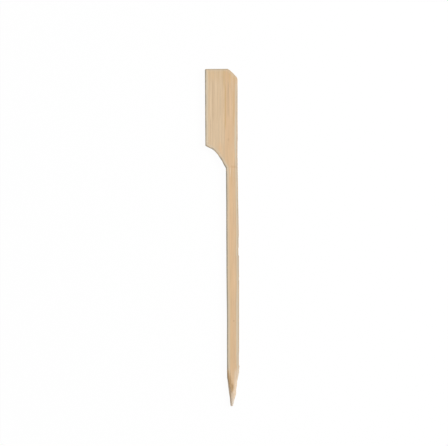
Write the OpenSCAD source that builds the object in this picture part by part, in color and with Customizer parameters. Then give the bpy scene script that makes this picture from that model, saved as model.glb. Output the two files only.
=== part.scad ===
/* [Strip] */
// Overall length from the head end to the tip
pick_l = 120; // [90:1:180]
// Thickness of the bamboo strip
strip_t = 2.5; // [1.8:0.1:3.5]

/* [Head] */
// Width across the head at its end
head_w = 11.65; // [9:0.05:16]
// Length of the head's straight side, from its end to the shoulder
head_l = 27.3; // [18:0.1:45]
// Size of the rounding at the head's square corner
corner_r = 0.5; // [0.2:0.1:1.5]
// Clipped corner, measured across the head
clip_w = 3.5; // [1:0.1:5]
// Clipped corner, measured along the head
clip_l = 3.8; // [1:0.1:8]
// Radius of the clipped corner's slight bulge
clip_r = 10; // [6:0.5:40]

/* [Neck] */
// Length of the scooped neck, from the shoulder to the shaft
neck_l = 9.1; // [6:0.1:11]
// Radius of the scoop
neck_r = 13; // [11:0.5:25]

/* [Shaft] */
// Width of the shaft where it leaves the neck
neck_w = 4.25; // [3:0.05:6]
// Width of the shaft at its widest
mid_w = 4.6; // [3:0.05:6.5]
// Distance from the head end to the shaft's widest place, which is where it is nicked
mid_at = 65; // [50:0.5:85]
// Width of the shaft where the point begins
end_w = 4.35; // [3:0.05:6]
// How far the straight back leans out from the neck to the head end
back_lean = 0.15; // [0.05:0.05:1]

/* [Point] */
// Length of the sharpened point
point_l = 12; // [6:0.5:25]
// Width of the blunt tip
tip_w = 0.9; // [0.4:0.1:2]
// How far the tip lies off the shaft's centre line, towards the notched side
tip_shift = 0.5; // [0:0.1:1]
// Angle between the point's axis and the shaft's, in degrees
point_lean = 1.45; // [0:0.05:4]

/* [Edges] */
// Width of the sanding along the edges, measured on each face
ease = 0.3; // [0.1:0.05:0.6]
// Depth of the small nick in the back
nick_depth = 0.2; // [0.05:0.01:0.4]
// Length of the nick
nick_l = 3.4; // [1:0.1:5]

/* [Hidden] */
$fn = 96;

// How far a cut runs past the wood
spare = 1;
// How far the sanding of a straight side runs past its ends, and the head's blank past the neck
run_on = 3;
// How far the sanding of an arc runs past its ends, in degrees
spare_turn = 15;
// How far the shaft's blank runs up inside the head
overlap = 5;
// Depth of the ridge between a sanded edge's two flats, for sanding of width 1
ridge = 0.3;
// How deep the head corner's centre lies, for a rounding of size 1. Over 1, it meets each side at a slight angle.
corner_depth = 1.3;
// How much wider the nose's round is than the cone that it ends. Over 1, it meets the cone at a slight angle.
nose_spare = 1.05;
// How far up the nose's cut reaches, as a share of its radius. Under 1, it stops short of the nose's middle.
nose_reach = 0.9;

// Plan of the pick, with x = 0 on the shaft's notched side and y = 0 at the tip
head_end_x = neck_w + back_lean;
shoulder_x = head_end_x - head_w;
neck_y = pick_l - head_l - neck_l;
shoulder = [shoulder_x, neck_y + neck_l];
scoop_end = [0, neck_y];
neck_back = [neck_w, neck_y];
mid_back = [mid_w, pick_l - mid_at];
end_back = [end_w, point_l];
shaft_w = max(neck_w, mid_w, end_w);
middle_x = (shoulder_x + max(head_end_x, shaft_w)) / 2;

// The arcs and the back above its widest place are sanded a little wider than the sides that they meet,
// so no four surfaces come together in one point
wide_ease = 1.1 * ease;

// Points of the back at a height y, beside the head, above its widest place and below it
function between(p, q, y) = p + (q - p) * (y - p.y) / (q.y - p.y);
function head_back(y) = between(neck_back, [head_end_x, pick_l], y);
function upper_back(y) = between(mid_back, neck_back, y);
function lower_back(y) = between(end_back, mid_back, y);

// Centre of an arc of radius r from p to q, which lies on the left of the way
function arc_centre(p, q, r) =
    let (way = q - p, half = norm(way) / 2)
    (p + q) / 2 + sqrt(r * r - half * half) * [-way.y, way.x] / norm(way);

function heading(p, q) = atan2(q.y - p.y, q.x - p.x);

clip_start = [head_end_x - clip_w, pick_l];
clip_end = head_back(pick_l - clip_l);
clip_centre = arc_centre(clip_end, clip_start, clip_r);
scoop_centre = arc_centre(scoop_end, shoulder, neck_r);

// The point is a cone that runs on a little past the tip, and the nose is the ball that ends it
point_slope = (end_w - tip_w) / 2 / point_l;
past_tip = tip_w / 2;
nose_r = nose_spare * tip_w / 2 / (1 - point_slope);
nose = [end_w / 2 - tip_shift, nose_r, strip_t / 2];

// Radius of the cone at a distance from the tip
function cone_r(along) = tip_w / 2 + point_slope * along;

// Section of what sanding takes off an edge at the origin, in two flats, of wood that lies in +x +y
module edge_cut(size) {
    low = ridge * size;
    past = 2 * size - low;
    polygon([[-spare, -spare], [past, -spare], [past, -low], [low, low], [-low, past], [-spare, past]]);
}

// What rounds a corner of the plan at the origin, of wood that lies in +x +y
module corner_cut(size) {
    depth = corner_depth * size;
    difference() {
        translate([-spare, -spare]) square(depth + spare);
        translate([depth, depth]) circle(norm([depth - size, depth]));
    }
}

// Repeats at the upper face what cuts the lower one
module both_faces() {
    children();
    translate([0, 0, strip_t]) mirror([0, 0, 1]) children();
}

// Sands both edges of a straight side that runs from p to q with the wood on its left
module ease_side(p, q, size = ease) {
    both_faces()
        translate(p)
            rotate([90, 0, heading(p, q) + 90])
                translate([0, 0, -run_on])
                    linear_extrude(norm(q - p) + 2 * run_on) edge_cut(size);
}

// Sands both edges of an arc that runs anticlockwise from p to q, with its children as the section
module ease_arc(centre, r, p, q) {
    first = heading(centre, p) - spare_turn;
    both_faces()
        translate(centre)
            rotate(first)
                rotate_extrude(angle = heading(centre, q) + spare_turn - first)
                    translate([r, 0]) children();
}

// Head and neck, cut off just below the neck
module head_blank() {
    foot_y = neck_y - run_on;
    difference() {
        linear_extrude(strip_t)
            difference() {
                polygon([[shoulder_x, foot_y], head_back(foot_y), head_back(pick_l), [shoulder_x, pick_l]]);
                translate(scoop_centre) circle(neck_r);
                translate([shoulder_x, pick_l]) rotate(-90) corner_cut(corner_r);
                difference() {
                    translate([clip_start.x - spare, clip_end.y - spare]) square(clip_w + clip_l);
                    translate(clip_centre) circle(clip_r);
                }
            }
        ease_side(head_back(foot_y), clip_end);
        ease_arc(clip_centre, clip_r, clip_end, clip_start) mirror([1, 0]) edge_cut(wide_ease);
        ease_side(clip_start, [shoulder_x, pick_l]);
        ease_side([shoulder_x, pick_l], shoulder);
        ease_arc(scoop_centre, neck_r, scoop_end, shoulder) edge_cut(wide_ease);
    }
}

// Shaft, left long past the tip and run up inside the head
module shaft_blank() {
    top_y = neck_y + overlap;
    difference() {
        linear_extrude(strip_t)
            polygon([[0, -spare], lower_back(-spare), mid_back, upper_back(top_y), [0, top_y]]);
        ease_side(lower_back(-spare), mid_back);
        ease_side(mid_back, upper_back(top_y), wide_ease);
        ease_side([0, top_y], [0, -spare]);
        nick();
    }
}

// Block of the shaft's end up to a height y, with room all round it
module end_block(y) {
    translate([-spare, -2 * spare, -spare])
        cube([shaft_w + 2 * spare, y + 2 * spare, strip_t + 2 * spare]);
}

// All of the shaft that the sharpening takes away, outside the cone and outside the nose
module point_waste() {
    difference() {
        end_block(neck_y - 2 * spare);
        translate(nose)
            rotate([-90, 0, -point_lean])
                translate([0, 0, -nose_r - past_tip])
                    cylinder(h = pick_l, r1 = cone_r(-past_tip), r2 = cone_r(pick_l - past_tip));
    }
    difference() {
        end_block(nose_reach * nose_r);
        translate(nose) sphere(nose_r);
    }
}

// Shallow round cut across the back at its widest place
module nick() {
    r = (nick_l * nick_l / 4 + nick_depth * nick_depth) / 2 / nick_depth;
    translate([mid_back.x + r - nick_depth, mid_back.y, -spare]) cylinder(h = strip_t + 2 * spare, r = r);
}

module pick() {
    color([0.85, 0.74, 0.6])
        translate([-middle_x, -pick_l / 2, 0])
            difference() {
                union() {
                    head_blank();
                    shaft_blank();
                }
                point_waste();
            }
}

pick();
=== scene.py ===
import math
import random

import bpy
import numpy as np
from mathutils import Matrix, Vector, noise


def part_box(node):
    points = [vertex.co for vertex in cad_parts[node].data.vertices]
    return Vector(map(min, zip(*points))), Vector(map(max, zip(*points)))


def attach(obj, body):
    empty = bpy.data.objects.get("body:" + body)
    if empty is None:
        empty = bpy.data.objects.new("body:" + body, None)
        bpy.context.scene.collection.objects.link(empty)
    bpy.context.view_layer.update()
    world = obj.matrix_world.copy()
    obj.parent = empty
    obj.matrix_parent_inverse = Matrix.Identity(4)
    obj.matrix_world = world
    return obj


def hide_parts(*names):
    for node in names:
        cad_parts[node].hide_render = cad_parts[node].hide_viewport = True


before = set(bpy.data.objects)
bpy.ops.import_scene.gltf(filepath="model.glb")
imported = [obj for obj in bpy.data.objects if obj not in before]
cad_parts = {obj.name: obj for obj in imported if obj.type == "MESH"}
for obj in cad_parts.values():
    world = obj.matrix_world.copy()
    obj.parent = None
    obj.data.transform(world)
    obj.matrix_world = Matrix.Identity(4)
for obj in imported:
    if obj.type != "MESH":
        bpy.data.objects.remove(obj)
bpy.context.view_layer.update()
mm = 0.001
low, high = (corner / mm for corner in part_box("pick"))
print("frame loaded, pick", tuple(round(v, 2) for v in high - low), "mm")


# Small helpers

def smooth(x, start, end):  # 0 before start, 1 after end
    t = np.clip((x - start) / (end - start), 0, 1)
    return t * t * (3 - 2 * t)


def stepped(x, base, changes):  # base, changed by each amount between its two places
    for amount, start, end in changes:
        base = base + amount * smooth(x, start, end)
    return base


def between(place, rise, fall, amount):  # amount from the rise to the fall, 0 before and after
    return amount * smooth(place, rise[0], rise[1]) * smooth(place, fall[1], fall[0])


def wander(values, seed, size):  # slow random drift along a line of values, from -size to size
    return np.array([noise.noise(Vector((v, seed, 0.5))) for v in values]) * size


def straight(y, a, b):  # x at y on the line through a and b
    return a[0] + (b[0] - a[0]) * (y - a[1]) / (b[1] - a[1])


def arcCentre(a, b, radius):  # centre of the arc from a to b, on the left of the way
    half = math.dist(a, b) / 2
    reach = math.sqrt(radius**2 - half**2) / (2 * half)
    return (a[0] + b[0]) / 2 - (b[1] - a[1]) * reach, (a[1] + b[1]) / 2 + (b[0] - a[0]) * reach


def hump(y, place, reach):  # 1 at a place measured from the head end, fading over its reach
    return np.exp(-(((headEnd - place - y) / reach) ** 2))


def dip(y, place, length, flat):  # 1 over the flat share of a length about its place, 0 beyond it
    return 1 - smooth(np.abs(headEnd - place - y) / (length / 2), flat, 1.1)


def newMesh(name, points, faces):
    mesh = bpy.data.meshes.new(name)
    mesh.from_pydata(points, [], faces)
    mesh.update()
    thing = bpy.data.objects.new(name, mesh)
    bpy.context.scene.collection.objects.link(thing)
    return thing


# Outline of the strip, before it is sharpened

pick = {
    "headWidth": 11.65,
    "headLength": 27.3,
    "cornerRound": 0.5,  # of the head's square corner
    "clipAcross": 3.5,  # the head's other corner is clipped
    "clipAlong": 3.8,
    "clipRadius": 10.0,
    "neckLength": 9.1,
    "neckRadius": 13.0,
    "neckWidth": 4.25,
    "widest": 4.6,
    "widestAt": 65.0,  # this and the places below are measured from the head end
    "endWidth": 4.35,
    "backLean": 0.15,  # how far the back comes in from the head's end to the neck
    "ease": 0.3,  # rounding of the long edges
    # cut into the back: place, length, depth
    "nicks": [
        (64.95, 2.9, 0.19), (74.6, 1.4, 0.09), (61.7, 4.2, 0.08), (66.5, 15.0, 0.06), (28.8, 6.5, 0.06),
        (103.4, 5.5, 0.08),
    ],
    "burrs": [(105.8, 0.42, 0.23)],  # standing out of the back: place, reach, height
    "hollows": [(88.0, 20.0, 0.07), (46.0, 26.0, 0.03)],  # in the notched side: place, length, depth
    # where the scoop is cut deeper, or less deep if below 0: place, reach, depth
    "scoopDigs": [(27.9, 0.3, -0.15), (28.9, 1.2, 0.43), (30.3, 0.6, 0.12), (35.4, 0.9, 0.28)],
    "scoopRagged": 0.05,
    "clipLip": (3.05, 0.5, 0.2),  # standing out of the clipped corner: place, reach, height
    "unevenness": 0.025,  # how far the long edges drift
    "nodeAt": 34.85,  # the bamboo's joint line across the strip
}

headEnd, headLeft = high.y, low.x
headRight = headLeft + pick["headWidth"]
shoulderY = headEnd - pick["headLength"]
neckY = shoulderY - pick["neckLength"]
shaftLeft = headRight - pick["backLean"] - pick["neckWidth"]
neckBack = (shaftLeft + pick["neckWidth"], neckY)
widestBack = (shaftLeft + pick["widest"], headEnd - pick["widestAt"])

point = {
    "length": 12.0,
    "tipWidth": 0.9,
    "tipShift": 0.5,  # off the shaft's middle, towards the notched side
    "lean": math.radians(1.45),
    "noseSpare": 1.05,  # the round nose is larger than the cone needs by this
    # on the back's flank: place, reach, height
    "bulges": [
        (115.9, 2.3, 0.25), (115.5, 0.9, 0.15), (114.0, 0.7, 0.06), (112.5, 0.9, 0.14), (109.7, 1.1, 0.15),
        (107.8, 0.8, 0.26), (105.9, 0.6, 0.15),
    ],
    "dents": [(117.0, 1.7, 0.07)],  # on the other flank
    "facets": 0.05,  # depth of the uneven cuts round the cone
    "creaseRound": 0.07,  # where the cone runs out on the flat faces
}
pointBack = (shaftLeft + pick["endWidth"], low.y + point["length"])
pointSlope = (pick["endWidth"] - point["tipWidth"]) / 2 / point["length"]
noseRadius = point["noseSpare"] * point["tipWidth"] / 2 / (1 - pointSlope)
noseX = shaftLeft + pick["endWidth"] / 2 - point["tipShift"]
middleZ = (low.z + high.z) / 2

clipY = headEnd - pick["clipAlong"]
clipStart = (headRight - pick["clipAcross"], headEnd)
clipEnd = (straight(clipY, neckBack, (headRight, headEnd)), clipY)
clipCentre = arcCentre(clipEnd, clipStart, pick["clipRadius"])
scoopCentre = arcCentre((shaftLeft, neckY), (headLeft, shoulderY), pick["neckRadius"])


def cornerInset(y):
    r = pick["cornerRound"]
    rise = np.clip(y - headEnd + r, 0, r)
    return r - np.sqrt(r * r - rise * rise)


def leftEdge(y):
    scoop = scoopCentre[0] + np.sqrt(np.maximum(pick["neckRadius"] ** 2 - (y - scoopCentre[1]) ** 2, 0))
    inScoop = smooth(y, neckY, neckY + 2) * (y < shoulderY)
    ragged = pick["scoopRagged"] * np.abs(wander(y * 2.3, 4, 1)) * inScoop
    for place, reach, depth in pick["scoopDigs"]:
        scoop = scoop + depth * hump(y, place, reach)
    scoop = np.minimum(scoop, shaftLeft)
    x = np.where(y > shoulderY, headLeft, np.where(y > neckY, scoop, shaftLeft))
    drift = 0.5 + wander(y * 0.17, 1, 0.5)
    for place, length, depth in pick["hollows"]:
        x = x + depth * dip(y, place, length, 0.1)
    return x + cornerInset(y) + ragged + drift * pick["unevenness"]


def rightEdge(y):
    head = straight(y, neckBack, (headRight, headEnd))
    upper = straight(y, widestBack, neckBack)
    lower = straight(y, pointBack, widestBack)
    x = np.where(y > neckY, head, np.where(y > widestBack[1], upper, lower))
    for place, length, depth in pick["nicks"]:
        x = x - depth * dip(y, place, length, 0.75)
    for place, reach, height in pick["burrs"]:
        x = x + height * hump(y, place, reach)
    x = np.minimum(x + wander(y * 0.21, 2, 1.3 * pick["unevenness"]), high.x - 0.005)
    clip = clipCentre[0] + np.sqrt(np.maximum(pick["clipRadius"] ** 2 - (y - clipCentre[1]) ** 2, 0))
    lipPlace, lipReach, lipHeight = pick["clipLip"]
    clip = clip + lipHeight * hump(y, lipPlace, lipReach)
    return np.where(y > clipY, np.minimum(x, clip), x)


# The strip is a stack of closed rings, one at each station along its length

rings = {
    "across": 46,  # points over the flat of a face
    "arris": 6,  # points over each rounded edge
    "side": 7,  # points down a side, between its edges
    "noseAngles": [9, 16, 23, 31, 40, 50, 60, 72],  # of the rings round the nose
    "endAngles": [90, 72, 55, 38, 22, 8],  # and round the head's end edge
    "calmStep": 0.32,
    "busyStep": 0.13,
    "busy": [(-60, -43.5), (-17, -1.5), (22.5, 34.5), (55.5, 60)],  # tip, nicks, neck, clip
}


def makeStations():
    ys = [low.y]
    while ys[-1] < headEnd:
        busy = any(a <= ys[-1] < b for a, b in rings["busy"])
        ys.append(ys[-1] + (rings["busyStep"] if busy else rings["calmStep"]))
    nose = low.y + noseRadius * (1 - np.cos(np.radians(rings["noseAngles"])))
    end = headEnd - pick["ease"] * (1 - np.sin(np.radians(rings["endAngles"])))
    spare = 0.05
    keep = [y for y in ys[1:] if nose[-1] + spare < y < end[-1] - spare]
    return np.concatenate([nose, keep, end[::-1]])


# How dark the handled edges are: 0 is clean, 1 the full edge tone, and above 1 the line only gets wider. The
# notched side is mostly set darker than the back: its line is dirt with painted shade of the edges turned
# away from the lamp
edges = {
    "head": 0.74,
    "scoop": 0.44,
    "shaft": 1.15,
    "shaftFade": (0.1, -2, 4),  # cleaner by this share once y has passed from one number to the next
    "back": 0.5,
    "backFade": (0.6, 51, 55),
    "end": 0.54,
    "clip": 0.3,
    "lineWidth": 0.285,
    # inside the line lies a paler, greyer band: its strength, and how far in it goes
    "leftBand": 0.7,
    "rightBand": 0.84,
    "endBand": 0.3,  # over the head's end and its clipped corner
    "leftReach": 1.12,
    "rightReach": 0.88,
    "endReach": 0.9,
    "sideShare": 0.45,  # of the band, on the narrow sides
    "scoopBandLoss": 0.35,
    "leftBandLoss": ((37, 42), (78, 84), 0.35),  # it comes in and goes out between these places
    "rightSpreads": [((16, 22), (26, 32), 0.34), ((76, 84), (96, 104), 0.22)],  # more reach, in the same way
    # darker places by the notched side, paler if below 0: x and y, reach, depth
    "edgeMarks": [
        ((-5.5, 32.5), 0.6, 0.35), ((-4.2, 32.0), 0.5, -0.2), ((-3.2, 31.6), 0.5, 0.7),
        ((-1.6, 30.0), 0.8, -0.25), ((0.1, 28.2), 1.0, 1.0), ((1.3, 25.6), 1.3, 0.7),
        ((-5.6, 59.2), 0.7, 0.8), ((-5.8, 58.4), 0.7, 0.35), ((-5.9, 60.1), 0.8, -0.4),
    ],
}


# The notched side's edge line: dirt, with painted shade of the edges turned away from the lamp
def leftDirtAndShade(x, y):
    lineDarkness = np.where(y > shoulderY, edges["head"], np.where(y > neckY, edges["scoop"], edges["shaft"]))
    fade, start, end = edges["shaftFade"]
    lineDarkness = lineDarkness * (1 - fade * smooth(y, start, end) * (y < neckY))
    for (stainX, stainY), reach, depth in edges["edgeMarks"]:
        lineDarkness = lineDarkness + depth * np.exp(-((x - stainX) ** 2 + (y - stainY) ** 2) / reach**2)
    return lineDarkness * (1 + wander(y * 0.35, 21, 0.3) + wander(y * 1.7, 22, 0.25))


def rightDirt(y):
    fade, start, end = edges["backFade"]
    back = edges["back"] * (1 - fade * smooth(y, start, end))
    lineDarkness = np.where(y > clipY, edges["clip"], back)
    return lineDarkness * (1 + wander(y * 0.3, 23, 0.35) + wander(y * 1.5, 24, 0.25))


# For each point of each station: how far the nearest edge is in plan, how dark that edge is (dirt, with
# painted shade on the notched side), and its band
def edgeDistances(ys, xs):
    reach = 1.6  # nothing is told apart further from the edges than this
    fine = np.arange(low.y - reach, headEnd + 1e-6, 0.08)
    fine[-1] = headEnd
    place = headEnd - fine
    left, right = leftEdge(fine), rightEdge(fine)
    endPoints = 160
    endEdge = np.linspace(left[-1], right[-1], endPoints)

    def roundOutline(leftValues, endValue, rightValues):  # up the notched side, over the end, down the back
        return np.concatenate([leftValues, np.full(endPoints, endValue), rightValues[::-1]])

    outline = np.stack([np.concatenate([left, endEdge, right[::-1]]), roundOutline(fine, headEnd, fine)], 1)
    inScoop = smooth(fine, neckY + 1.5, neckY + 4) * smooth(fine, shoulderY + 0.5, shoulderY - 1)
    leftBand = edges["leftBand"] * smooth(place, -3, 2.5) * (1 - edges["scoopBandLoss"] * inScoop)
    leftBand = leftBand * (1 - between(place, *edges["leftBandLoss"]))
    rightBand = np.maximum(edges["rightBand"] * smooth(clipY - fine, 0.2, 2.5), edges["endBand"])
    rightReach = edges["rightReach"] + sum(between(place, *spread) for spread in edges["rightSpreads"])
    lineDarkness = roundOutline(leftDirtAndShade(left, fine), edges["end"], rightDirt(fine))
    worn = roundOutline(leftBand, edges["endBand"], rightBand)
    inward = roundOutline(np.full(len(fine), edges["leftReach"]), edges["endReach"], rightReach)
    distances, edgeMarks = np.full(xs.shape, reach), np.zeros(xs.shape)
    bands, bandReaches = np.zeros(xs.shape), np.ones(xs.shape)
    for i, y in enumerate(ys):
        near = np.flatnonzero(np.abs(outline[:-1, 1] - y) < reach)
        start, way = outline[near], outline[near + 1] - outline[near]
        gap = np.stack([xs[i], np.full_like(xs[i], y)], 1)[:, None] - start
        share = np.clip((gap * way).sum(2) / np.maximum((way * way).sum(1), 1e-12), 0, 1)
        away = np.linalg.norm(gap - share[..., None] * way, axis=2)
        nearest = near[away.argmin(1)]
        distances[i], edgeMarks[i] = np.minimum(reach, away.min(1)), lineDarkness[nearest]
        bands[i], bandReaches[i] = worn[nearest], inward[nearest]
    return distances, edgeMarks, bands, bandReaches


def acrossPoints(ys):  # x of every point of the upper row, crowded over the rounded edges
    left, right = leftEdge(ys), rightEdge(ys)
    crowd = 1 - np.cos(np.linspace(0, math.pi / 2, rings["arris"]))
    rows = []
    for xl, xr, turnL, turnR in zip(left, right, np.gradient(left, ys), np.gradient(right, ys)):
        most = 0.3 * (xr - xl)  # where the strip is narrow
        wideL = min(pick["ease"] * math.hypot(1, turnL), most)
        wideR = min(pick["ease"] * math.hypot(1, turnR), most)
        flat = np.linspace(xl + wideL, xr - wideR, rings["across"] + 2)[1:-1]
        rows.append(np.concatenate([xl + wideL * crowd, flat, xr - wideR * crowd[::-1]]))
    return np.array(rows)


def sharpen(ys, x, z):  # pulls what lies outside the cone and its round nose in to them
    up = ys[:, None] - low.y
    axisX = noseX + (up - noseRadius) * math.tan(point["lean"])
    dx, dz = x - axisX, z - middleZ
    reach = np.hypot(dx, dz) + 1e-9
    bulge = sum(h * hump(ys[:, None], place, size) for place, size, h in point["bulges"])
    dent = sum(h * hump(ys[:, None], place, size) for place, size, h in point["dents"])
    angle = np.arctan2(dz, dx)
    facets = np.array([
        [noise.noise(Vector((1.4 * math.cos(a), 1.4 * math.sin(a), 0.55 * u))) for a in row]
        for row, u in zip(angle, up[:, 0])
    ])
    cone = point["tipWidth"] / 2 + pointSlope * up
    cone = cone + bulge * np.clip(dx / reach, 0, 1) - dent * np.clip(-dx / reach, 0, 1)
    cone = cone + point["facets"] * facets * smooth(up, 0.3, 2)
    ball = np.sqrt(np.maximum(noseRadius**2 - (noseRadius - up) ** 2, 0))
    radius = np.where(up < noseRadius, np.minimum(cone, ball), cone)
    soft = point["creaseRound"]
    nearer = np.clip(0.5 + 0.5 * (radius - reach) / soft, 0, 1)
    share = (radius + (reach - radius) * nearer - soft * nearer * (1 - nearer)) / reach
    share = np.where(up < 0.3, np.minimum(1, radius / reach), share)  # no crease round the nose itself
    return axisX + dx * share, middleZ + dz * share, smooth(reach - radius, -0.03, 0.05)


# Tones of the point. Up is measured from the tip, and across is -1 and 1 on the cone's two flanks.
pointLook = {
    "freshFrom": (14.2, 12.0),  # up
    # brown wood on the notched side, deepened with painted shade of the flank turned away from the lamp: its
    # border across, and its depth, with their changes by up
    "border": -0.52,
    "borderSteps": [(0.24, 10.4, 8.8), (0.27, 8.2, 7.0), (-0.15, 6.8, 5.0)],
    "borderBlur": 0.17,
    "brownAndShade": 0.84,
    "brownAndShadeSteps": [(-0.17, 8.2, 7.2), (-0.09, 6.9, 6.2), (0.16, 4.8, 3.6)],
    "turnedLoss": 0.75,  # how much of the brown goes where the flank turns down
    "paleShare": 0.85,  # fresh wood on the back's flank
    "stainUp": 6.7,  # the stain where the flat ends
    "stainReach": (0.5, 1.2),  # over x and up
    "stainDepth": 0.56,
    # shade: painted shade on the flank turned away from the lamp
    "shade": (109.2, 2.1, 0.72),  # by the notched side, where the sharpening starts: place, reach, depth
    "burr": (106.0, 1.9),  # fresh wood by the burr on the back: place, reach
}


def pointTones(ys, x, z):
    up = ys[:, None] - low.y
    axisX = noseX + (up - noseRadius) * math.tan(point["lean"])
    across = (x - axisX) / (point["tipWidth"] / 2 + pointSlope * up)
    streaks = np.array([
        [noise.noise(Vector((2.6 * a, 0.22 * u, 2.6 * b))) for a, b in zip(row, rowZ)]
        for row, rowZ, u in zip(x, z, up[:, 0])
    ])
    start = smooth(up, *pointLook["freshFrom"])
    border = stepped(up, pointLook["border"], pointLook["borderSteps"])
    blur = pointLook["borderBlur"]
    turned = smooth(-across, 0.55, 0.9) * smooth(up, 10.2, 8.6) * smooth(up, 1.5, 4.0)
    # side: brown wood with painted shade, on the flank turned away from the lamp
    side = smooth(across + 0.45 * streaks - border, blur, -blur) * (1 - pointLook["turnedLoss"] * turned)
    side = side * stepped(up, pointLook["brownAndShade"], pointLook["brownAndShadeSteps"])
    stainUp = up - pointLook["stainUp"] + 0.9 * streaks
    reachX, reachUp = pointLook["stainReach"]
    stain = np.exp(-(((x - axisX - 0.05) / reachX) ** 2) - (stainUp / reachUp) ** 2) * smooth(z, 1.2, 2.0)
    place, reach, depth = pointLook["shade"]
    # painted shade on the notched flank, where the sharpening starts
    shade = depth * hump(ys[:, None] + 2.2 * streaks, place, reach) * smooth(across, -0.34, -0.56)
    shade = shade * (1 - 0.6 * smooth(-across, 0.62, 0.85))
    pale = smooth(across + 0.2 * streaks, 0.24, 0.54) * start
    burr = hump(ys[:, None], *pointLook["burr"]) * smooth(across + 0.1 * streaks, 0.7, 0.9)
    return np.clip(start * side + pointLook["stainDepth"] * stain + shade, 0, 1), np.maximum(pale, burr)


def makePick():
    ys = makeStations()
    xs = acrossPoints(ys)
    distances, edgeMarks, bands, bandReaches = edgeDistances(ys, xs)
    ease = pick["ease"] * (1 + wander(ys * 0.22, 7, 0.2) + wander(ys * 1.3, 8, 0.08))[:, None]
    inset = ease - np.sqrt(np.maximum(ease**2 - np.clip(ease - distances, 0, ease) ** 2, 0))
    upper, lower = high.z - inset, low.z + inset
    down = np.linspace(0, 1, rings["side"] + 2)[None, 1:-1]

    def aroundRing(row, sideRight, sideLeft):  # over the top, down the back, along below, up the notched side
        return np.concatenate([row, sideRight + 0 * down, row[:, ::-1], sideLeft + 0 * down], 1)

    rightZ = upper[:, -1:] * (1 - down) + lower[:, -1:] * down
    leftZ = lower[:, :1] * (1 - down) + upper[:, :1] * down
    x = aroundRing(xs, xs[:, -1:], xs[:, :1])
    z = np.concatenate([upper, rightZ, lower[:, ::-1], leftZ], 1)
    apart = aroundRing(distances, 0 * xs[:, :1], 0 * xs[:, :1]) + np.minimum(high.z - z, z - low.z)
    apart = np.maximum(apart - pick["ease"] / 2, 0)
    # the edge line's darkness: dirt, with painted shade on the notched side
    stain = aroundRing(edgeMarks, edgeMarks[:, -1:], edgeMarks[:, :1])
    band = aroundRing(bands, edges["sideShare"] * bands[:, -1:], edges["sideShare"] * bands[:, :1])
    bandReach = aroundRing(bandReaches, bandReaches[:, -1:], bandReaches[:, :1])
    sharpened, brownAndShade = np.zeros(x.shape), np.zeros(x.shape)
    end = ys < low.y + point["length"] + 5  # the cone first cuts the edges a little above its length
    x[end], z[end], sharpened[end] = sharpen(ys[end], x[end], z[end])
    brownAndShade[end], pale = pointTones(ys[end], x[end], z[end])
    sharpened[end] = np.maximum(sharpened[end], pointLook["paleShare"] * pale)

    rows, count = x.shape
    y = np.repeat(ys[:, None], count, 1)
    points = np.stack([x, y, z], 2).reshape(-1, 3)
    index = np.arange(rows * count).reshape(rows, count)
    a, b = index[:-1], index[1:]
    quads = np.stack([a, np.roll(a, -1, 1), np.roll(b, -1, 1), b], 2).reshape(-1, 4)

    # Flat end of the head, as a grid inside the last ring
    width, side = xs.shape[1], rings["side"]
    last = index[-1]
    grid = np.zeros((side + 2, width), int)
    grid[0], grid[-1] = last[:width], last[width + side:2 * width + side][::-1]
    grid[1:-1, -1], grid[1:-1, 0] = last[width:width + side], last[2 * width + side:][::-1]
    share = down[0][:, None, None]
    inner = points[grid[0]] * (1 - share) + points[grid[-1]] * share
    grid[1:-1, 1:-1] = len(points) + np.arange(side * (width - 2)).reshape(side, width - 2)
    points = np.concatenate([points, inner[:, 1:-1].reshape(-1, 3), [[noseX, low.y, middleZ]]])
    g = grid
    endQuads = np.stack([g[:-1, :-1], g[:-1, 1:], g[1:, 1:], g[1:, :-1]], 2).reshape(-1, 4)
    tip = len(points) - 1
    fan = [(int(q), int(p), tip) for p, q in zip(index[0], np.roll(index[0], -1))]
    faces = quads.tolist() + endQuads.tolist() + fan

    thing = newMesh("bambooPick", (points * mm).tolist(), faces)
    mesh = thing.data

    # Material 0 is the lengthwise wood. 1 is cut across the fibres: the head's end, clipped corner and scoop.
    station = np.repeat(ys[:-1], count)
    slot = np.tile(np.arange(count), rows - 1)
    atLeft = (slot >= 2 * width + side - 1) & (station > neckY + 0.3)
    cutLeft = atLeft & ((station < shoulderY) | (station > headEnd - pick["cornerRound"]))
    cutRight = (slot >= width - 1) & (slot < width + side) & (station > clipY)
    kind = np.concatenate([cutLeft | cutRight, np.ones(len(endQuads), bool), np.zeros(len(fan), bool)])
    mesh.polygons.foreach_set("material_index", kind.astype(np.int32))
    mesh.polygons.foreach_set("use_smooth", np.ones(len(faces), bool))

    # What the materials read at each ring point, and on the head's end and the tip's last point
    fields = {
        "edgeDistance": (apart, 0.6),  # millimetres to the nearest edge
        # edge line darkness: dirt, with painted shade on the notched side
        "edgeDirtAndShade": (stain, 0.5),
        "edgeBand": (band, 0),
        "bandReach": (bandReach, 1),
        "sharpened": (sharpened, 1),
        "brownAndShadeSide": (brownAndShade, 0.5),
    }
    for name, (ringValues, elsewhere) in fields.items():
        values = np.full(len(points), elsewhere, np.float32)
        values[:rows * count] = ringValues.reshape(-1)
        values[rows * count:-1] = 0 if name == "sharpened" else elsewhere
        mesh.attributes.new(name, "FLOAT", "POINT").data.foreach_set("value", values)
    carveRelief(mesh, points, sharpened.reshape(-1))
    return thing


relief = {
    "sunk": 0.016,  # the whole surface, so that what stands up stays inside the strip's size
    "fibreHollows": 0.014,
    "swell": 0.012,
    "torn": 0.035,
    "sawMarks": 0.012,
    "nodeGroove": 0.04,  # with a lip beside it
}


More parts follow.
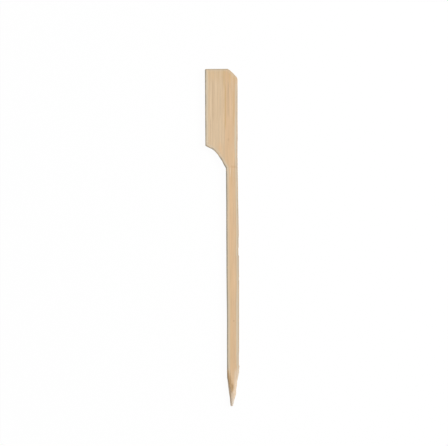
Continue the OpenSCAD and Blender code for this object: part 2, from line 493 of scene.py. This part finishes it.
def carveRelief(mesh, points, sharpened):  # fibre hollows, the node line, torn wood and tool marks
    normals = np.zeros(len(points) * 3, np.float32)
    mesh.vertices.foreach_get("normal", normals)
    normals = normals.reshape(-1, 3)
    depths = np.zeros(len(points))
    for k, (x, y, z) in enumerate(points):
        fibre = noise.noise(Vector((x * 2.2, y * 0.03, z * 2.2)))
        swell = noise.noise(Vector((x * 0.4, y * 0.05, z * 0.4 + 9)))
        depths[k] = relief["fibreHollows"] * (0.5 + 0.5 * fibre) + relief["swell"] * (0.5 + 0.5 * swell)
        if k < len(sharpened) and sharpened[k] > 0:
            torn = noise.noise(Vector((x * 3.5, y * 0.45, z * 3.5)))
            depths[k] += relief["torn"] * sharpened[k] * (0.5 + 0.5 * torn)
    x, y, z = points.T
    nodeY = headEnd - pick["nodeAt"] + 0.12 * np.sin(x * 1.7) + 0.08 * (x - 4) + wander(x * 1.9, 31, 0.12)
    groove = np.exp(-(((y - nodeY) / 0.13) ** 2)) - 0.4 * np.exp(-(((y - nodeY - 0.3) / 0.2) ** 2))
    depths += relief["nodeGroove"] * groove * smooth(x, 1.6, 3.4) + relief["sunk"]
    sawMarks = relief["sawMarks"] * np.sin(z * 17 + np.sin(x * 2.1) * 0.8) + relief["sawMarks"]
    depths += np.where(y > headEnd - 1e-4, sawMarks, 0)
    moved = points - normals * depths[:, None]
    moved = np.clip(moved, np.array(low), np.array(high))
    mesh.vertices.foreach_set("co", (moved * mm).astype(np.float32).ravel())
    mesh.update()


# Lifted fibres, where a cut left them standing

fuzz = {
    "seed": 5,
    "slivers": 20,  # on the back, where the sharpening starts
    "sliverPlaces": (104.3, 107.8),
    "sliverLength": (0.7, 2.8),
    "sliverWidth": (0.016, 0.045),
    "hairs": 9,  # along the scoop
    "hairLength": (0.15, 0.45),
    "hairWidth": 0.03,
    "tipShreds": 7,
    "shredLength": (0.4, 0.8),
    "shredWidth": 0.045,
    "lift": 0.06,  # how far a fibre's end stands off, as a share of its length
}


def addFibre(points, faces, start, way, lift, length, wide):  # a thin closed spike, bent off the wood
    sides, steps = 5, 7
    way, lift = Vector(way).normalized(), Vector(lift).normalized()
    across = way.cross(lift).normalized()
    base = len(points)
    for i in range(steps):
        t = i / steps
        middle = Vector(start) + way * (length * t) + lift * (length * fuzz["lift"] * t * t)
        r = wide * min(1, 0.5 + 3 * t) * (1 - t) ** 0.5
        for j in range(sides):
            a = 2 * math.pi * j / sides
            points.append(middle + (across * math.cos(a) + lift * math.sin(a) * 0.5) * r)
    points.append(Vector(start) + way * length + lift * (length * fuzz["lift"]))
    points.append(Vector(start) - way * wide)
    tip, root = len(points) - 2, len(points) - 1
    for i in range(steps - 1):
        for j in range(sides):
            a, b = base + i * sides + j, base + i * sides + (j + 1) % sides
            faces.append((a, a + sides, b + sides, b))
    for j in range(sides):
        a, b = base + (steps - 1) * sides + j, base + (steps - 1) * sides + (j + 1) % sides
        faces.append((a, tip, b))
        faces.append((base + (j + 1) % sides, root, base + j))


def makeFuzz():
    dice = random.Random(fuzz["seed"])
    points, faces = [], []
    first, last = fuzz["sliverPlaces"]
    for k in range(fuzz["slivers"]):
        place = first + (last - first) * (k + dice.random()) / fuzz["slivers"]
        up = high.y - low.y - place
        z = dice.uniform(low.z + 0.35, high.z - 0.15)
        axisX = noseX + (up - noseRadius) * math.tan(point["lean"])
        cone = point["tipWidth"] / 2 + pointSlope * up
        x = axisX + math.sqrt(max(cone**2 - (z - middleZ) ** 2, 0))
        x = min(x, float(rightEdge(np.array([headEnd - place]))[0])) - dice.uniform(0.0, 0.04)
        length = dice.uniform(*fuzz["sliverLength"])
        way = (dice.uniform(-0.13, -0.05), -1, dice.uniform(-0.08, 0.08))
        wide = dice.uniform(*fuzz["sliverWidth"])
        addFibre(points, faces, (x, headEnd - place, z), way, (1, 0, 0.2), length, wide)
    for _ in range(fuzz["hairs"]):
        y = dice.uniform(neckY + 1.5, shoulderY - 0.2)
        x = float(leftEdge(np.array([y]))[0]) + 0.05
        way = (dice.uniform(-0.35, 0.1), -1, dice.uniform(-0.2, 0.2))
        length = dice.uniform(*fuzz["hairLength"])
        start = (x, y, dice.uniform(0.2, 2.35))
        addFibre(points, faces, start, way, (-0.6, 0, 0.5), length, fuzz["hairWidth"])
    for _ in range(fuzz["tipShreds"]):
        angle, up = dice.uniform(0, 2 * math.pi), dice.uniform(0.9, 2.4)
        reach = point["tipWidth"] / 2 + pointSlope * up - 0.04
        start = (noseX + reach * math.cos(angle), low.y + up, middleZ + reach * math.sin(angle))
        outward = (math.cos(angle), 0, math.sin(angle))
        way = (-0.1 * math.cos(angle), -1, -0.1 * math.sin(angle))
        addFibre(points, faces, start, way, outward, dice.uniform(*fuzz["shredLength"]), fuzz["shredWidth"])
    inside = [[min(max(v, a), b) * mm for v, a, b in zip(p, low, high)] for p in points]
    thing = newMesh("liftedFibres", inside, faces)
    thing.data.polygons.foreach_set("use_smooth", np.ones(len(faces), bool))
    return thing


strip = makePick()
print("strip", len(strip.data.vertices), "points", len(strip.data.polygons), "faces")
fibres = makeFuzz()
print("lifted fibres", len(fibres.data.polygons), "faces")


# Shader building blocks

def addNode(tree, kind, sockets=None, **settings):
    made = tree.nodes.new("ShaderNode" + kind)
    for name, value in settings.items():
        setattr(made, name, value)
    plug(tree, made, sockets or {})
    return made


def plug(tree, made, sockets):
    for name, value in sockets.items():
        if isinstance(value, bpy.types.NodeSocket):
            tree.links.new(value, made.inputs[name])
        else:
            made.inputs[name].default_value = value


def calc(tree, operation, a, b=0.0, c=0.0):
    return addNode(tree, "Math", {0: a, 1: b, 2: c}, operation=operation).outputs[0]


def ramp(tree, value, start, end, low=0.0, high=1.0):  # smooth step from start to end
    sockets = {"Value": value, "From Min": start, "From Max": end, "To Min": low, "To Max": high}
    return addNode(tree, "MapRange", sockets, interpolation_type="SMOOTHSTEP").outputs["Result"]


def blend(tree, share, a, b, how="MIX"):
    return addNode(tree, "Mix", {0: share, 6: a, 7: b}, data_type="RGBA", blend_type=how).outputs[2]


def grey(tree, value):
    return addNode(tree, "CombineColor", {"Red": value, "Green": value, "Blue": value}).outputs[0]


def stretch(tree, vector, factors):
    return addNode(tree, "VectorMath", {0: vector, 1: factors}, operation="MULTIPLY").outputs[0]


def newGroup(name, inputs, outputs):
    tree = bpy.data.node_groups.new(name, "ShaderNodeTree")
    for label, kind in inputs.items():
        tree.interface.new_socket(label, in_out="INPUT", socket_type="NodeSocket" + kind)
    for label, kind in outputs.items():
        tree.interface.new_socket(label, in_out="OUTPUT", socket_type="NodeSocket" + kind)
    return tree, tree.nodes.new("NodeGroupInput").outputs, tree.nodes.new("NodeGroupOutput").inputs


def useGroup(tree, group, sockets):
    made = tree.nodes.new("ShaderNodeGroup")
    made.node_tree = group
    plug(tree, made, sockets)
    return made.outputs


# Bamboo as a solid: its bundles run lengthwise as rods, so a long face shows streaks and a cut end dots.
# Bent is the place in millimetres with the grain's slow sway in it.
def bambooWoodGroup():
    tree, given, result = newGroup(
        "bambooWood",
        {"Coordinate": "Vector", "Bundle Spacing": "Float", "Sway": "Float"},
        {"Bundles": "Float", "Fibres": "Float", "Bands": "Float", "Bent": "Vector"},
    )
    inMetres = given["Coordinate"]
    place = addNode(tree, "VectorMath", {0: inMetres, "Scale": 1 / mm}, operation="SCALE").outputs[0]
    slow = stretch(tree, place, (0.25, 0.035, 0.25))
    drift = addNode(tree, "TexNoise", {"Vector": slow, "Scale": 1.0, "Detail": 1.0}).outputs["Color"]
    drift = addNode(tree, "VectorMath", {0: drift, 1: (0.5, 0.5, 0.5)}, operation="SUBTRACT").outputs[0]
    drift = addNode(tree, "VectorMath", {0: drift, "Scale": given["Sway"]}, operation="SCALE").outputs[0]
    bent = addNode(tree, "VectorMath", {0: place, 1: drift}, operation="ADD").outputs[0]
    tree.links.new(bent, result["Bent"])

    turned = addNode(tree, "SeparateXYZ", {0: bent}).outputs
    section = addNode(tree, "CombineXYZ", {"X": turned["X"], "Y": turned["Z"]}).outputs[0]
    density = calc(tree, "DIVIDE", 1.0, given["Bundle Spacing"])
    sockets = {"Vector": section, "Scale": density, "Randomness": 0.85}
    cells = addNode(tree, "TexVoronoi", sockets, voronoi_dimensions="2D")
    shade = addNode(tree, "SeparateColor", {"Color": cells.outputs["Color"]}).outputs
    bundle = ramp(tree, cells.outputs["Distance"], 0.36, 0.12)
    fade = stretch(tree, bent, (0.9, 0.04, 0.9))
    fade = addNode(tree, "TexNoise", {"Vector": fade, "Scale": 1.0, "Detail": 2.0}).outputs["Fac"]
    fade = ramp(tree, fade, 0.35, 0.6, 0.3, 1.0)
    strength = calc(tree, "MULTIPLY", ramp(tree, shade["Red"], 0.0, 0.8, 0.3, 1.0), fade)
    tree.links.new(calc(tree, "MULTIPLY", bundle, strength), result["Bundles"])

    thin = stretch(tree, bent, (5.0, 0.09, 5.0))
    sockets = {"Vector": thin, "Scale": 1.0, "Detail": 4.0, "Roughness": 0.65}
    fine = addNode(tree, "TexNoise", sockets).outputs["Fac"]
    tree.links.new(ramp(tree, fine, 0.28, 0.72), result["Fibres"])

    broad = stretch(tree, bent, (1.1, 0.016, 1.1))
    sockets = {"Vector": broad, "Scale": 1.0, "Detail": 3.0, "Roughness": 0.6}
    bands = addNode(tree, "TexNoise", sockets).outputs["Fac"]
    tree.links.new(ramp(tree, bands, 0.3, 0.7), result["Bands"])
    return tree


# One long streak: a soft line at X of half a width, between two places along the pick, all in millimetres
def streakGroup():
    tree, given, result = newGroup(
        "longStreak",
        {"Bent": "Vector", "X": "Float", "Half Width": "Float", "From": "Float", "To": "Float"},
        {"Mask": "Float"},
    )
    place = addNode(tree, "SeparateXYZ", {0: given["Bent"]}).outputs
    off = calc(tree, "ABSOLUTE", calc(tree, "SUBTRACT", place["X"], given["X"]))
    line = ramp(tree, calc(tree, "DIVIDE", off, given["Half Width"]), 1.3, 0.3)
    up = ramp(tree, calc(tree, "SUBTRACT", place["Y"], given["From"]), -1.5, 1.5)
    down = ramp(tree, calc(tree, "SUBTRACT", given["To"], place["Y"]), -1.5, 1.5)
    tree.links.new(calc(tree, "MULTIPLY", line, calc(tree, "MULTIPLY", up, down)), result["Mask"])
    return tree


# One soft oval spot at X and Y, in millimetres
def spotGroup():
    tree, given, result = newGroup(
        "brownSpot",
        {"Bent": "Vector", "X": "Float", "Y": "Float", "Half Width": "Float", "Half Length": "Float"},
        {"Mask": "Float"},
    )
    place = addNode(tree, "SeparateXYZ", {0: given["Bent"]}).outputs
    across = calc(tree, "DIVIDE", calc(tree, "SUBTRACT", place["X"], given["X"]), given["Half Width"])
    along = calc(tree, "DIVIDE", calc(tree, "SUBTRACT", place["Y"], given["Y"]), given["Half Length"])
    off = calc(tree, "ADD", calc(tree, "MULTIPLY", across, across), calc(tree, "MULTIPLY", along, along))
    tree.links.new(ramp(tree, off, 1.6, 0.1), result["Mask"])
    return tree


# Handled and sanded edges: a dull line on the arris (dirt, with painted shade on the notched side), and a
# paler greyer band inside it
def edgeToneGroup():
    tree, given, result = newGroup(
        "edgeTone",
        {
            "Edge Distance": "Float", "Dirt And Shade": "Float", "Worn": "Float", "Bent": "Vector",
            "Line Width": "Float", "Band Width": "Float",
        },
        {"Line": "Float", "Band": "Float"},
    )
    spread = stretch(tree, given["Bent"], (1.2, 0.7, 1.2))
    patchy = addNode(tree, "TexNoise", {"Vector": spread, "Scale": 1.0, "Detail": 3.0}).outputs["Fac"]
    wobble = calc(tree, "MULTIPLY_ADD", patchy, 0.24, -0.12)
    distance = calc(tree, "ADD", given["Edge Distance"], wobble)
    stain = calc(tree, "MULTIPLY", given["Dirt And Shade"], ramp(tree, patchy, 0.3, 0.6, 0.75, 1.05))
    width = calc(tree, "MULTIPLY", given["Line Width"], calc(tree, "MULTIPLY_ADD", stain, 0.45, 0.68))
    line = ramp(tree, calc(tree, "DIVIDE", distance, width), 1.35, 0.7)
    inner = ramp(tree, calc(tree, "DIVIDE", distance, given["Band Width"]), 1.0, 0.6)
    far = calc(tree, "MULTIPLY", inner, given["Worn"])
    tree.links.new(calc(tree, "MULTIPLY", line, calc(tree, "MINIMUM", stain, 1.0)), result["Line"])
    tree.links.new(calc(tree, "MULTIPLY", far, calc(tree, "SUBTRACT", 1.0, line)), result["Band"])
    return tree


# Sparse brown flecks, longer than they are wide
def fleckGroup():
    tree, given, result = newGroup(
        "flecks", {"Bent": "Vector", "Spacing": "Float", "Size": "Float"}, {"Mask": "Float"}
    )
    long = stretch(tree, given["Bent"], (1, 0.4, 1))
    density = calc(tree, "DIVIDE", 1.0, given["Spacing"])
    cells = addNode(tree, "TexVoronoi", {"Vector": long, "Scale": density, "Randomness": 1.0})
    shade = addNode(tree, "SeparateColor", {"Color": cells.outputs["Color"]}).outputs["Green"]
    spot = ramp(tree, cells.outputs["Distance"], given["Size"], 0.0)
    tree.links.new(calc(tree, "MULTIPLY", spot, ramp(tree, shade, 0.55, 0.75)), result["Mask"])
    return tree


groups = {
    "wood": bambooWoodGroup(), "streak": streakGroup(), "spot": spotGroup(), "edge": edgeToneGroup(),
    "fleck": fleckGroup(),
}
print("shader groups", ", ".join(g.name for g in groups.values()))


# Bamboo finishes

tones = {
    "pale": (0.745, 0.562, 0.368, 1),
    "tan": (0.665, 0.487, 0.304, 1),
    "warm": (0.714, 0.469, 0.262, 1),
    "straw": (0.70, 0.50, 0.28, 1),
    "golden": (0.62, 0.41, 0.19, 1),
    "dull": (0.56, 0.40, 0.245, 1),
    "bundle": (0.52, 0.35, 0.20, 1),
    "edge": (0.36, 0.315, 0.24, 1),
    "band": (0.655, 0.57, 0.43, 1),
    "fleck": (0.30, 0.17, 0.08, 1),
    "node": (0.50, 0.29, 0.12, 1),
    "cut": (0.54, 0.39, 0.245, 1),
    "cutBundle": (0.27, 0.17, 0.09, 1),
    "fresh": (0.82, 0.65, 0.485, 1),
    # brown wood, made darker as painted shade of the notched flank
    "brownAndShade": (0.43, 0.27, 0.125, 1),
    "tip": (0.67, 0.59, 0.50, 1),
    "fibre": (0.84, 0.73, 0.60, 1),
}


def startMaterial(name, spacing, sway):
    made = bpy.data.materials.new(name)
    made.use_nodes = True
    tree = made.node_tree
    tree.nodes.clear()
    output = tree.nodes.new("ShaderNodeOutputMaterial")
    surface = tree.nodes.new("ShaderNodeBsdfPrincipled")
    tree.links.new(surface.outputs["BSDF"], output.inputs["Surface"])
    coordinate = tree.nodes.new("ShaderNodeTexCoord").outputs["Object"]
    sockets = {"Coordinate": coordinate, "Bundle Spacing": spacing, "Sway": sway}
    wood = useGroup(tree, groups["wood"], sockets)
    return made, tree, surface, wood


def readField(tree, name):
    return addNode(tree, "Attribute", attribute_name=name).outputs["Fac"]


def edgeMasks(tree, bent):
    return useGroup(tree, groups["edge"], {
        "Edge Distance": readField(tree, "edgeDistance"), "Dirt And Shade": readField(tree, "edgeDirtAndShade"),
        "Worn": readField(tree, "edgeBand"), "Band Width": readField(tree, "bandReach"),
        "Bent": bent, "Line Width": edges["lineWidth"],
    })


def addFlecks(tree, color, bent, spacing, size, share):
    flecks = useGroup(tree, groups["fleck"], {"Bent": bent, "Spacing": spacing, "Size": size})["Mask"]
    return blend(tree, calc(tree, "MULTIPLY", flecks, share), color, tones["fleck"])


def finishSurface(tree, surface, color, roughness, height, bumpDepth, strength):
    tree.links.new(color, surface.inputs["Base Color"])
    tree.links.new(roughness, surface.inputs["Roughness"])
    bump = addNode(tree, "Bump", {"Height": height, "Distance": bumpDepth * mm, "Strength": strength})
    tree.links.new(bump.outputs["Normal"], surface.inputs["Normal"])


faceLook = {
    "bundleSpacing": 0.62,
    "sway": 0.45,
    "warmFrom": 0.8,  # x at which the warm side of the strip begins
    "warmTo": 1.5,
    "warmShare": 0.62,
    "bundleShare": 0.25,
    "headEndShare": 0.34,  # more golden wood towards the head's end
    "freshShare": 0.85,  # of the sharpened wood
    "tipShare": 0.75,  # of the grey on the last millimetres
    "bumpDepth": 0.03,
    # x, half width, from y, to y, strength, tone
    "streaks": [
        (1.30, 0.24, 39, 54, 0.85, "golden"),
        (2.40, 0.30, 43, 55, 0.75, "dull"),
        (4.15, 0.26, 40, 52, 0.55, "golden"),
        (-3.1, 0.45, 42, 56, 0.5, "dull"),
        (-0.45, 0.25, 43, 56, 0.4, "dull"),
        (-2.1, 0.35, 37, 56, 0.5, "pale"),
        (-1.6, 0.9, 32.5, 41, 0.5, "pale"),
        (3.3, 0.9, 33, 42, 0.5, "warm"),
        (3.2, 0.75, -47, 25, 0.5, "warm"),
        (2.3, 0.2, 2, 18, 0.25, "pale"),
        (2.75, 0.55, -45, -6, 0.45, "straw"),
        (2.98, 0.15, 22.2, 24.8, 0.85, "fresh"),
        (3.36, 0.13, 19, 25, 0.4, "golden"),
        (4.42, 0.15, 18, 27, 0.4, "dull"),
        (3.1, 0.7, 55.4, 58.6, 0.15, "golden"),
        (0.96, 0.2, 27, 41, 0.65, "dull"),
        (0.85, 0.26, 53.5, 62, 0.65, "golden"),
        (1.95, 0.15, 25, 34, 0.4, "dull"),
        (-0.3, 1.2, 26, 33.5, 0.5, "warm"),
        (-3.9, 0.2, 33, 42, 0.35, "dull"),
        (-3.4, 0.22, 38, 50, 0.35, "dull"),
        (0.72, 0.25, 41, 53, 0.3, "warm"),
        (2.7, 0.3, 37, 43, 0.3, "tan"),
        (3.7, 0.3, 26.5, 30, 0.3, "golden"),
        (4.0, 0.3, 20.5, 23.5, 0.4, "tan"),
        (4.58, 0.2, 53.5, 62, 0.25, "golden"),
        (2.95, 0.24, 54, 62, 0.3, "golden"),
        (3.69, 0.24, 53.5, 62, 0.5, "pale"),
        (-4.84, 0.3, 53, 62, 0.4, "pale"),
        (-0.4, 0.28, 53, 62, 0.5, "pale"),
        (-2.2, 0.35, 53, 62, 0.4, "pale"),
        (-2.3, 0.4, 31, 38, 0.4, "pale"),
        (0.2, 0.25, 30, 36, 0.35, "pale"),
    ],
    # brown spots: x, y, half width, half length, strength
    "spots": [(3.9, -29.5, 0.3, 0.36, 0.26), (2.36, 34.8, 0.36, 0.6, 0.16)],
}


def makeFaceMaterial():
    made, tree, surface, wood = startMaterial("bambooFace", faceLook["bundleSpacing"], faceLook["sway"])
    place = addNode(tree, "SeparateXYZ", {0: wood["Bent"]}).outputs
    x, y = place["X"], place["Y"]
    warm = ramp(tree, x, faceLook["warmFrom"], faceLook["warmTo"], 0.0, faceLook["warmShare"])
    color = blend(tree, wood["Bands"], tones["tan"], tones["pale"])
    color = blend(tree, warm, color, tones["warm"])
    golden = ramp(tree, wood["Fibres"], 0.1, 0.7, 0.3, 1.0)
    golden = calc(tree, "MULTIPLY", ramp(tree, y, 54.0, 58.0), golden)
    color = blend(tree, calc(tree, "MULTIPLY", golden, faceLook["headEndShare"]), color, tones["golden"])
    for at, half, start, end, strength, tone in faceLook["streaks"]:
        sockets = {"Bent": wood["Bent"], "X": at, "Half Width": half, "From": start, "To": end}
        mask = useGroup(tree, groups["streak"], sockets)["Mask"]
        color = blend(tree, calc(tree, "MULTIPLY", mask, strength), color, tones[tone])
    bundles = calc(tree, "MULTIPLY", wood["Bundles"], faceLook["bundleShare"])
    color = blend(tree, bundles, color, tones["bundle"])
    color = blend(tree, 1.0, color, grey(tree, ramp(tree, wood["Fibres"], 0, 1, 0.92, 1.06)), "MULTIPLY")

    color = addFlecks(tree, color, wood["Bent"], 5.0, 0.07, 0.5)
    edge = edgeMasks(tree, wood["Bent"])
    color = blend(tree, edge["Band"], color, tones["band"])
    nodeOff = calc(tree, "ABSOLUTE", calc(tree, "SUBTRACT", y, headEnd - pick["nodeAt"]))
    nodeLine = calc(tree, "MULTIPLY", ramp(tree, nodeOff, 0.62, 0.15), ramp(tree, x, 2.2, 4.1, 0.05, 0.3))
    nodeLine = calc(tree, "MULTIPLY", nodeLine, ramp(tree, wood["Fibres"], 0.1, 0.6, 0.5, 1.0))
    color = blend(tree, nodeLine, color, tones["node"])
    for at, along, half, length, strength in faceLook["spots"]:
        sockets = {"Bent": wood["Bent"], "X": at, "Y": along, "Half Width": half, "Half Length": length}
        mask = useGroup(tree, groups["spot"], sockets)["Mask"]
        color = blend(tree, calc(tree, "MULTIPLY", mask, strength), color, tones["fleck"])
    # the edge line: dirt, with painted shade on the notched side
    color = blend(tree, edge["Line"], color, tones["edge"])

    # The sharpened point: freshly cut and paler, brown with painted shade on the notched side, grey at the
    # tip
    sharpened = readField(tree, "sharpened")
    torn = ramp(tree, wood["Fibres"], 0, 1, 0.84, 1.06)
    fresh = blend(tree, 1.0, tones["fresh"], grey(tree, torn), "MULTIPLY")
    fresh = blend(tree, calc(tree, "MULTIPLY", wood["Bundles"], 0.4), fresh, tones["dull"])
    color = blend(tree, calc(tree, "MULTIPLY", sharpened, faceLook["freshShare"]), color, fresh)
    # brown wood darkened with painted shade on the notched flank
    brownAndShade = ramp(tree, wood["Fibres"], 0.1, 0.9, 0.72, 1.12)
    brownAndShade = calc(tree, "MULTIPLY", readField(tree, "brownAndShadeSide"), brownAndShade)
    color = blend(tree, calc(tree, "MINIMUM", brownAndShade, 0.95), color, tones["brownAndShade"])
    # the edge line's dirt and painted shade, carried down onto the sharpened flank
    flank = calc(tree, "MULTIPLY", ramp(tree, y, low.y + 7.5, low.y + 11.0, 0.0, 0.55), sharpened)
    color = blend(tree, calc(tree, "MULTIPLY", edge["Line"], flank), color, tones["edge"])
    tipShade = ramp(tree, y, low.y + 3.8, low.y + 1.4, 0.0, faceLook["tipShare"])
    tipShade = calc(tree, "MULTIPLY", tipShade, sharpened)
    tipShade = calc(tree, "MULTIPLY", tipShade, calc(tree, "MULTIPLY_ADD", brownAndShade, -0.85, 1.0))
    color = blend(tree, tipShade, color, tones["tip"])

    roughness = ramp(tree, wood["Fibres"], 0, 1, 0.54, 0.7)
    roughness = calc(tree, "ADD", roughness, calc(tree, "MULTIPLY", edge["Line"], 0.06))
    roughness = calc(tree, "MULTIPLY_ADD", sharpened, 0.1, roughness)
    height = calc(tree, "SUBTRACT", wood["Fibres"], calc(tree, "MULTIPLY", wood["Bundles"], 0.5))
    height = calc(tree, "MULTIPLY", height, calc(tree, "MULTIPLY_ADD", sharpened, 1.0, 1.0))
    finishSurface(tree, surface, color, roughness, height, faceLook["bumpDepth"], 0.7)
    return made


cutLook = {"bundleSpacing": 0.46, "sway": 0.3, "bundleShare": 0.8, "lineShare": 0.8, "bumpDepth": 0.05}


def makeCutMaterial():
    made, tree, surface, wood = startMaterial("bambooCut", cutLook["bundleSpacing"], cutLook["sway"])
    color = blend(tree, wood["Bands"], tones["cut"], tones["tan"])
    bundles = calc(tree, "MULTIPLY", wood["Bundles"], cutLook["bundleShare"])
    color = blend(tree, bundles, color, tones["cutBundle"])
    color = addFlecks(tree, color, wood["Bent"], 1.1, 0.2, 0.35)
    line = calc(tree, "MULTIPLY", edgeMasks(tree, wood["Bent"])["Line"], cutLook["lineShare"])
    color = blend(tree, line, color, tones["edge"])
    roughness = ramp(tree, wood["Fibres"], 0, 1, 0.72, 0.88)
    height = calc(tree, "SUBTRACT", wood["Fibres"], wood["Bundles"])
    finishSurface(tree, surface, color, roughness, height, cutLook["bumpDepth"], 0.8)
    return made


fibreLook = {"bundleSpacing": 0.3, "sway": 0.2, "bundleShare": 0.2, "bumpDepth": 0.01}


def makeFibreMaterial():
    made, tree, surface, wood = startMaterial("bambooFibre", fibreLook["bundleSpacing"], fibreLook["sway"])
    color = blend(tree, wood["Bands"], tones["fresh"], tones["fibre"])
    bundles = calc(tree, "MULTIPLY", wood["Bundles"], fibreLook["bundleShare"])
    color = blend(tree, bundles, color, tones["dull"])
    roughness = ramp(tree, wood["Fibres"], 0, 1, 0.6, 0.75)
    finishSurface(tree, surface, color, roughness, wood["Fibres"], fibreLook["bumpDepth"], 0.5)
    return made


for material in (makeFaceMaterial(), makeCutMaterial()):
    strip.data.materials.append(material)
fibres.data.materials.append(makeFibreMaterial())
for piece in (strip, fibres):
    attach(piece, "root")
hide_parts("pick")
print("materials", ", ".join(m.name for m in strip.data.materials), "and", fibres.data.materials[0].name)


# Floor, light and camera

stage = {
    "size": 1600.0,
    "gap": 0.02,  # the floor lies this far under the pick
    "shadowShare": 0.045,  # how much of the floor that the camera sees takes shadow
    "paint": 0.88,
    "ambient": 0.5,
}


def seenStraight(tree):  # camera rays, and what mirrors or glass would show of the background
    path = tree.nodes.new("ShaderNodeLightPath").outputs
    mirrored = calc(tree, "MAXIMUM", path["Is Glossy Ray"], path["Is Transmission Ray"])
    return calc(tree, "MAXIMUM", path["Is Camera Ray"], mirrored)


def makeFloor():
    half = stage["size"] / 2 * mm
    corners = [(-half, -half, 0), (half, -half, 0), (half, half, 0), (-half, half, 0)]
    floor = newMesh("floor", corners, [(0, 1, 2, 3)])
    floor.location.z = low.z * mm - stage["gap"] * mm
    made = bpy.data.materials.new("paleFloor")
    made.use_nodes = True
    tree = made.node_tree
    tree.nodes.clear()
    shadowShare, paint = stage["shadowShare"], stage["paint"]
    # With the painted share, the lit floor comes out at 1
    white = (1 - shadowShare * paint) / (1 - shadowShare)
    lit = addNode(tree, "Emission", {"Color": (1, 1, 1, 1), "Strength": white}).outputs[0]
    matt = addNode(tree, "BsdfDiffuse", {"Color": (paint, paint, paint, 1)}).outputs[0]
    share = calc(tree, "MULTIPLY", seenStraight(tree), 1 - shadowShare)
    both = addNode(tree, "MixShader", {0: share, 1: matt, 2: lit}).outputs[0]
    addNode(tree, "OutputMaterial", {"Surface": both})
    floor.data.materials.append(made)


def makeWorld():
    world = bpy.data.worlds.new("studio")
    bpy.context.scene.world = world
    world.use_nodes = True
    tree = world.node_tree
    tree.nodes.clear()
    soft = addNode(tree, "Background", {"Color": (1, 1, 1, 1), "Strength": stage["ambient"]}).outputs[0]
    white = addNode(tree, "Background", {"Color": (1, 1, 1, 1), "Strength": 1.0}).outputs[0]
    both = addNode(tree, "MixShader", {0: seenStraight(tree), 1: soft, 2: white}).outputs[0]
    addNode(tree, "OutputWorld", {"Surface": both})


# Distance and size are in metres here
lamps = [
    {"name": "keyLamp", "toward": (0.66, 0.16, 0.73), "distance": 0.7, "size": 0.35, "level": 0.68},
]


def makeLamps():
    for lamp in lamps:
        data = bpy.data.lights.new(lamp["name"], "AREA")
        data.size = lamp["size"]
        data.energy = lamp["level"] * math.pi**2 * lamp["distance"] ** 2
        thing = bpy.data.objects.new(lamp["name"], data)
        toward = Vector(lamp["toward"]).normalized()
        thing.location = toward * lamp["distance"]
        thing.rotation_euler = toward.to_track_quat("Z", "Y").to_euler()
        bpy.context.scene.collection.objects.link(thing)


view = {
    "lens": 120.0,
    "frameWidth": 159.0,  # what the picture's width covers at the pick's upper face
    "middle": (0.58, 5.24),
    "roll": math.radians(-0.33),
}


def makeCamera():
    data = bpy.data.cameras.new("camera")
    data.lens = view["lens"]
    data.sensor_width = 36.0
    camera = bpy.data.objects.new("camera", data)
    height = view["frameWidth"] * view["lens"] / data.sensor_width
    camera.location = (view["middle"][0] * mm, view["middle"][1] * mm, (high.z + height) * mm)
    camera.rotation_euler = (0, 0, view["roll"])
    bpy.context.scene.collection.objects.link(camera)
    bpy.context.scene.camera = camera


makeFloor()
makeWorld()
makeLamps()
makeCamera()
bpy.context.scene.view_settings.view_transform = "Standard"
print("floor, light and camera ready")
